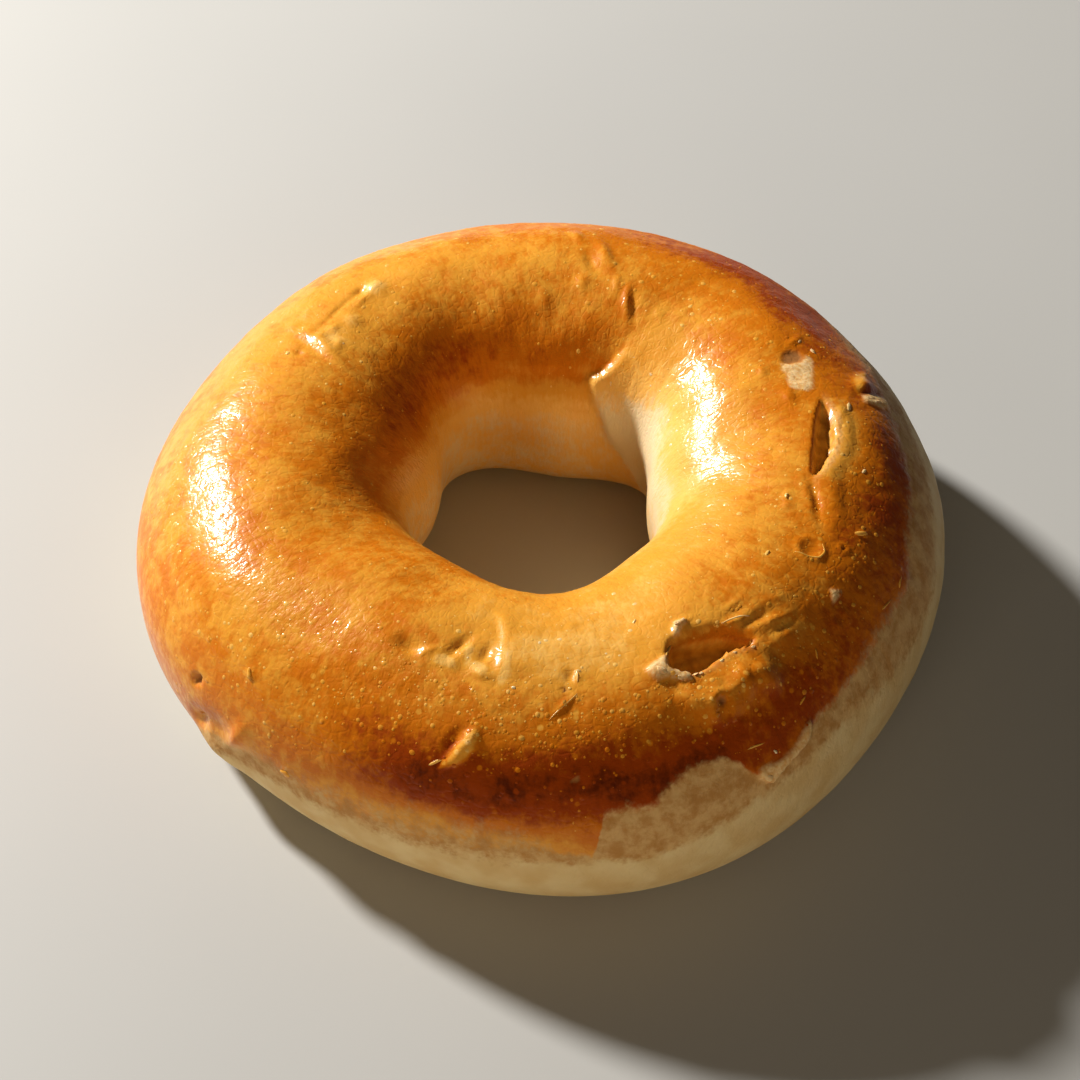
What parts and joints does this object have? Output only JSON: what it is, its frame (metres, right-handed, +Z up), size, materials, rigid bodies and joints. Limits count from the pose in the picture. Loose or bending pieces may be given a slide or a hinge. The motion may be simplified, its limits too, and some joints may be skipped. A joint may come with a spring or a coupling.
{
  "type": "bagel",
  "caption": "Plain egg-washed bagel: an uneven ring of baked dough with a glossy browned crust, a pale side, burst blisters on top and a flat underside.",
  "frame": {"origin": "on the table, under the middle of the bagel's footprint", "axes": "+Z up through the ring's hole, -Y towards the side that shows the pale, less browned dough, +X to the right when looking along +Y"},
  "size_m": [0.1102, 0.1118, 0.0322],
  "materials": {
    "crust": "gloss"
  },
  "bodies": {
    "root": {"bagel": "crust"}
  },
  "joints": []
}
